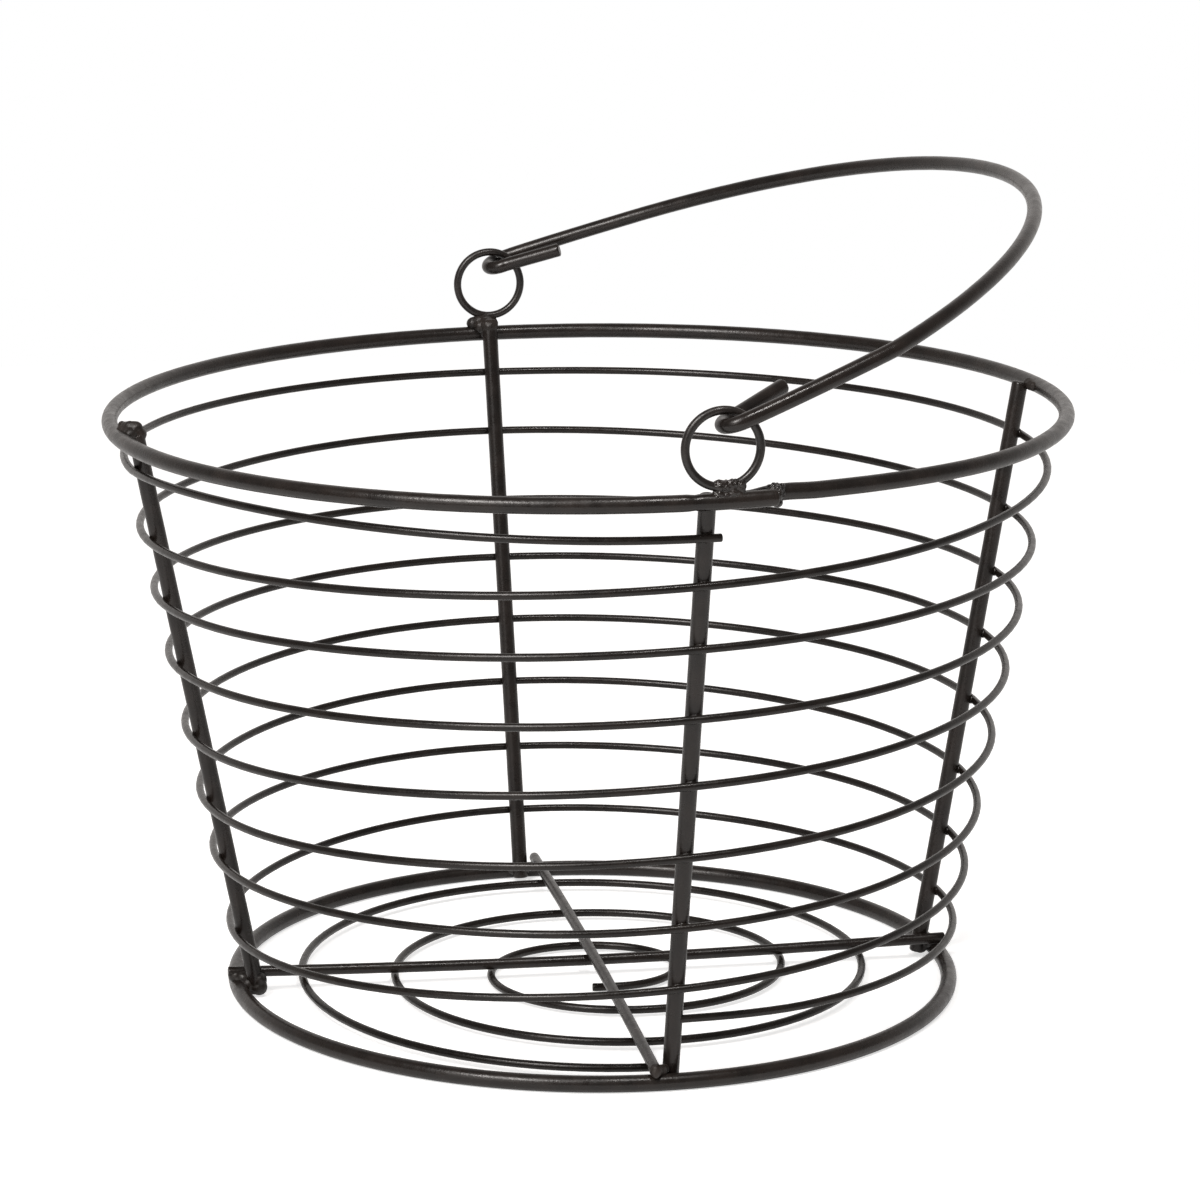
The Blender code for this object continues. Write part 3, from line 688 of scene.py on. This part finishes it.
def cast_weld(name, node, spot, angle, drops, seed, grit=0.0002, spatter=2, melting=18,
              coat=WELD_COAT):
    """Cast a bead from drops along the ring, inwards and upwards of a spot, each with its radius."""
    mesh = bpy.data.meshes.new(name + "_line")
    mesh.from_pydata([drop[:3] for drop in drops], [], [])
    sizes = mesh.attributes.new("size", "FLOAT", "POINT")
    sizes.data.foreach_set("value", [drop[3] for drop in drops])
    here = Matrix.Translation(spot) @ Matrix.Rotation(angle, 4, "Z")
    piece = grown(name, mesh, WELD_TREE, {
        "Spatter": spatter, "Melting": melting, "Grit": grit, "Seed": seed, "Coating": coat}, here)
    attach(piece, "basket")
    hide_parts(node)


# Drops of each foot bead and top bead, from the upright's centre line
FOOT_DROPS = {
    "front": ((-0.0066, -0.0076, 0.0046, 0.0022), (-0.0044, -0.0054, 0.0042, 0.0019),
              (-0.0028, -0.0030, 0.0036, 0.0018), (-0.0012, -0.0020, -0.0002, 0.0018)),
    "left": ((0.0008, 0.0006, 0.0034, 0.0028), (0.0010, 0.0006, 0.0008, 0.0029),
             (0.0, -0.0030, 0.0018, 0.0026), (-0.0018, -0.0026, 0.0028, 0.0027),
             (-0.0030, -0.0045, 0.0032, 0.0026), (-0.0053, -0.0068, 0.0036, 0.0026)),
    "back": ((0.0, -0.0010, 0.0010, 0.0027), (0.0026, -0.0024, 0.0016, 0.0020),
             (-0.0026, -0.0024, 0.0016, 0.0020)),
    "right": ((0.0, -0.0012, 0.0006, 0.0026), (-0.0004, -0.0030, 0.0022, 0.0026),
              (-0.0026, -0.0042, 0.0030, 0.0024), (-0.0045, -0.0062, 0.0038, 0.0022)),
}
TOP_DROPS = {
    "left": ((0.0, -0.0001, 0.0032, 0.0023), (-0.0008, -0.0021, 0.0036, 0.0020),
             (-0.0040, -0.0040, 0.0037, 0.0015), (-0.0022, -0.0030, 0.0034, 0.0018),
             (0.0, 0.0010, 0.0010, 0.0025), (0.0012, -0.0024, 0.0012, 0.0024),
             (-0.0010, -0.0034, 0.0014, 0.0023), (-0.0030, -0.0044, 0.0018, 0.0020)),
    "back": ((0.0015, -0.0030, 0.0003, 0.0017), (-0.0015, -0.0030, 0.0003, 0.0017)),
    "right": ((-0.0010, -0.0031, 0.0006, 0.0021), (-0.0028, -0.0031, 0.0003, 0.0020),
              (-0.0045, -0.0036, 0.0001, 0.0019), (-0.0061, -0.0046, 0.0006, 0.0016)),
}
# Drops of the ears' beads, and of the bead at the rim's outer end
FRONT_EAR_DROPS = tuple(
    (0.0022 + step, 0.0, rise, 0.0021)
    for step in (-0.0034, -0.0012, 0.0010, 0.0031) for rise in (-0.0010, 0.0018))
BACK_EAR_DROPS = (
    (-0.0061, 0.0, -0.0002, 0.0025), (-0.0040, -0.0008, 0.0004, 0.0028),
    (-0.0018, -0.0014, 0.0006, 0.0028), (0.0004, 0.0, 0.0004, 0.0027),
    (-0.0036, -0.0026, -0.0010, 0.0026), (-0.0006, -0.0030, -0.0004, 0.0029),
    (-0.0008, -0.0054, -0.0008, 0.0031))
LAP_DROPS = (
    (-0.0004, 0.0, -0.0006, 0.0018), (0.0006, 0.0003, -0.0005, 0.0021),
    (0.0023, 0.0010, -0.0008, 0.0019), (0.0004, -0.0018, -0.0018, 0.0021),
    (0.0006, -0.0014, -0.0042, 0.0018))
# The two beads that are coarse and full of spatter
COARSE = {"spatter": 9, "melting": 1, "coat": SPATTER_COAT}


def dress_upright_welds():
    for order, (name, degrees, top_step, foot_step, _) in enumerate(UPRIGHTS):
        angle = math.radians(degrees + foot_step)
        spot = place(upright_radius(BASE_HEIGHT), angle, BASE_HEIGHT)
        cast_weld(name + "_foot_bead", "foot_weld_" + name, spot, angle + QUARTER_TURN,
                  FOOT_DROPS[name], seed=31 + order)
        if name in TOP_DROPS:
            angle = math.radians(degrees + top_step)
            spot = place(upright_radius(RIM_HEIGHT), angle, RIM_HEIGHT)
            cast_weld(name + "_top_bead", "top_weld_" + name, spot, angle + QUARTER_TURN,
                      TOP_DROPS[name], seed=41 + order)


def dress_ear_welds():
    front, back = (Vector((step, side * RIM_RADIUS, RIM_HEIGHT + (RIM_WIRE + lift) / 2))
                   for _, side, step, lift in EARS)
    cast_weld("front_ear_bead", "ear_weld_front", front, 0.0, FRONT_EAR_DROPS,
              seed=50, grit=0.0012, **COARSE)
    cast_weld("back_ear_bead", "ear_weld_back", back, 0.0, BACK_EAR_DROPS, seed=52, grit=0.0003)


def dress_lap_weld():
    angle = LAP_START + LAP_LENGTH / RIM_RADIUS
    spot = place(RIM_RADIUS - LAP_STEP / 2, angle, RIM_HEIGHT) + Vector((0.0, 0.0, RIM_WIRE / 2 - GAP))
    cast_weld("rim_end_bead", "lap_weld", spot, angle + QUARTER_TURN, LAP_DROPS,
              seed=61, grit=0.0011, **COARSE)


def dress_crossings():
    """Webs of coating where the wall wire crosses the uprights."""
    spots = []
    outwards = []
    quarters = len(WALL_HEIGHT_SHARES) * len(UPRIGHTS)
    for quarter in range(quarters):
        turn = quarter / len(UPRIGHTS)
        wire = wall_point(turn, 0.0)
        rod = upright_point(UPRIGHTS[quarter % len(UPRIGHTS)], wire.z)
        out = (wire - rod).normalized()
        spots.append(rod + out * (UPRIGHT_WIRE + GAP) / 2)
        outwards.append(out)
    mesh = bpy.data.meshes.new("crossings")
    mesh.from_pydata(spots, [], [])
    outward = mesh.attributes.new("outward", "FLOAT_VECTOR", "POINT")
    outward.data.foreach_set("vector", [value for out in outwards for value in out])
    piece = grown("crossing_webs", mesh, WEB_TREE, {
        "Half Size": Vector(WEB_HALF_SIZE), "Coating": THIN_COAT})
    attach(piece, "basket")


# Camera, lamps, room and floor


def set_camera():
    data = bpy.data.cameras.new("photo_camera")
    data.sensor_width = CAMERA_SENSOR
    data.lens = CAMERA_LENS
    camera = bpy.data.objects.new("photo_camera", data)
    camera.location = CAMERA_PLACE
    camera.rotation_euler = [math.radians(value) for value in CAMERA_TURNS]
    STUDIO.objects.link(camera)
    bpy.context.scene.camera = camera


def softbox(name, turn_deg, height_deg, distance, size, power):
    """A soft lamp at an angle from the camera's side of the basket, aimed at its middle."""
    data = bpy.data.lights.new(name, "AREA")
    data.shape = "SQUARE"
    data.size = size
    data.energy = power
    data.color = WARM_WHITE
    lamp = bpy.data.objects.new(name, data)
    middle = Vector((0.0, 0.0, RIM_HEIGHT / 2))
    side = math.radians(turn_deg) + CAMERA_SIDE
    rise = math.radians(height_deg)
    way = Vector((math.cos(rise) * math.cos(side), math.cos(rise) * math.sin(side), math.sin(rise)))
    lamp.location = middle + distance * way
    lamp.rotation_euler = way.to_track_quat("Z", "Y").to_euler()
    STUDIO.objects.link(lamp)


def shown_directly(tree):
    """One for rays that see the floor straight, less for mirrored ones, and zero for its light."""
    path = add(tree, "ShaderNodeLightPath").outputs
    mirrored = add(tree, "ShaderNodeMath", {0: path["Is Glossy Ray"], 1: MIRRORED_LIFT},
                   operation="MULTIPLY")
    seen = add(tree, "ShaderNodeMath", {0: path["Is Camera Ray"], 1: mirrored.outputs[0]},
               operation="MAXIMUM")
    through = add(tree, "ShaderNodeMath", {0: seen.outputs[0], 1: path["Is Transmission Ray"]},
                  operation="MAXIMUM")
    return through.outputs[0]


def seen_in_gloss(tree):
    """Brightness of the room that the gloss mirrors, by the way that a ray goes."""
    way = add(tree, "ShaderNodeTexCoord").outputs["Generated"]
    back = add(tree, "ShaderNodeVectorMath", {0: way, 1: BACKDROP_WAY}, operation="DOT_PRODUCT")
    bright = add(tree, "ShaderNodeMapRange", {
        "Value": back.outputs["Value"], "From Min": -0.25, "From Max": 0.55,
        "To Min": ROOM_DIM, "To Max": ROOM_BRIGHT})
    aside = add(tree, "ShaderNodeVectorMath", {0: way, 1: WINDOW_ACROSS}, operation="DOT_PRODUCT")
    off = add(tree, "ShaderNodeMath", {0: aside.outputs["Value"]}, operation="ABSOLUTE")
    level = add(tree, "ShaderNodeSeparateXYZ", {0: way}).outputs["Z"]
    edges = ((off.outputs[0], WINDOW_JAMBS), (level, WINDOW_SILL), (level, WINDOW_HEAD))
    narrow, low, high = (
        add(tree, "ShaderNodeMapRange", {"Value": value, "From Min": dark, "From Max": bright_from},
            interpolation_type="SMOOTHSTEP") for value, (dark, bright_from) in edges)
    ahead = add(tree, "ShaderNodeVectorMath", {0: way, 1: WINDOW_WAY}, operation="DOT_PRODUCT")
    facing = add(tree, "ShaderNodeMath", {0: ahead.outputs["Value"], 1: 0.0}, operation="GREATER_THAN")
    pane = add(tree, "ShaderNodeMath", {0: low.outputs[0], 1: high.outputs[0]}, operation="MULTIPLY")
    width = add(tree, "ShaderNodeMath", {0: narrow.outputs[0], 1: facing.outputs[0]}, operation="MULTIPLY")
    window = add(tree, "ShaderNodeMath", {0: pane.outputs[0], 1: width.outputs[0]}, operation="MULTIPLY")
    lit = add(tree, "ShaderNodeMath", {0: window.outputs[0], 1: WINDOW_GAIN, 2: bright.outputs["Result"]},
              operation="MULTIPLY_ADD")
    return lit.outputs[0]


def set_world():
    """Dim even light on the basket, the room in its gloss, and white where the camera looks past it."""
    world = bpy.data.worlds.new("white_studio")
    world.use_nodes = True
    bpy.context.scene.world = world
    tree = world.node_tree
    tree.nodes.clear()
    path = add(tree, "ShaderNodeLightPath").outputs
    warm = (*WARM_WHITE, 1.0)
    soft = add(tree, "ShaderNodeBackground", {"Color": warm, "Strength": ROOM_LIGHT})
    room = add(tree, "ShaderNodeBackground", {"Color": warm, "Strength": seen_in_gloss(tree)})
    white = add(tree, "ShaderNodeBackground", {"Color": (*PURE_WHITE, 1.0), "Strength": 1.0})
    mirrored = add(tree, "ShaderNodeMath", {0: path["Is Glossy Ray"], 1: path["Is Transmission Ray"]},
                   operation="MAXIMUM")
    part = add(tree, "ShaderNodeMixShader", {
        0: mirrored.outputs[0], 1: soft.outputs[0], 2: room.outputs[0]})
    mixed = add(tree, "ShaderNodeMixShader", {
        0: path["Is Camera Ray"], 1: part.outputs[0], 2: white.outputs[0]})
    add(tree, "ShaderNodeOutputWorld", {"Surface": mixed.outputs[0]})


def lay_floor():
    """A white paper floor. Seen directly it is lifted to white, and the basket's shadow stays on it."""
    bpy.ops.mesh.primitive_circle_add(vertices=96, radius=FLOOR_RADIUS, fill_type="NGON",
                                      location=(0.0, 0.0, 0.0))
    floor = bpy.context.object
    floor.name = "paper_floor"
    material = bpy.data.materials.new("white_paper")
    material.use_nodes = True
    tree = material.node_tree
    tree.nodes.clear()
    paper = add(tree, "ShaderNodeBsdfDiffuse", {"Color": linear("#e8e8e8")})
    lift = add(tree, "ShaderNodeEmission", {"Color": (*PURE_WHITE, 1.0), "Strength": PAPER_LIFT})
    lifted = add(tree, "ShaderNodeAddShader", {0: paper.outputs[0], 1: lift.outputs[0]})
    mixed = add(tree, "ShaderNodeMixShader", {
        0: shown_directly(tree), 1: paper.outputs[0], 2: lifted.outputs[0]})
    add(tree, "ShaderNodeOutputMaterial", {"Surface": mixed.outputs[0]})
    floor.data.materials.append(material)


dress_rim()
dress_base_ring()
dress_uprights()
dress_wall()
dress_spiral()
dress_bars()
dress_ears()
dress_handle()
dress_upright_welds()
dress_ear_welds()
dress_lap_weld()
dress_crossings()
set_camera()
set_world()
lay_floor()
softbox("left_softbox", turn_deg=-31.0, height_deg=44.0, distance=1.6, size=0.5, power=16.0)
softbox("right_lamp", turn_deg=23.0, height_deg=64.0, distance=1.6, size=0.12, power=7.0)
bpy.context.scene.view_settings.view_transform = "Standard"
